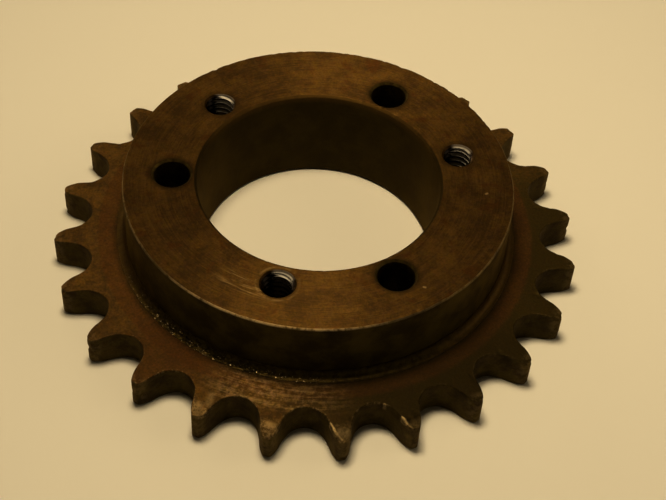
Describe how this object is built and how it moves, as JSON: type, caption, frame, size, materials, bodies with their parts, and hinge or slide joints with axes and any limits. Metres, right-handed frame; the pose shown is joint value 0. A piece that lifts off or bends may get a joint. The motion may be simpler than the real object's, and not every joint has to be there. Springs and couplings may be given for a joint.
{
  "type": "roller chain sprocket",
  "caption": "Flat toothed wheel for roller chain with a raised hub on one side, a tapered centre bore and a ring of bolt holes for a split taper bushing.",
  "frame": {"origin": "centre of the bore at the back face, which is the face that lies on the table", "axes": "+Z along the bore axis, from the back face towards the hub face; the middle of one tooth gap is on +X"},
  "size_m": [0.1034, 0.1034, 0.0206],
  "materials": {
    "plate_steel": "oily, browned mill finish with a worn tooth rim",
    "hub_steel": "turned, browned by oil and light rust",
    "weld_steel": "dressed weld with grease in its corner"
  },
  "bodies": {
    "root": {"toothed_plate": "plate_steel", "hub": "hub_steel", "front_weld_bead": "weld_steel", "back_weld_bead": "weld_steel"}
  },
  "joints": []
}
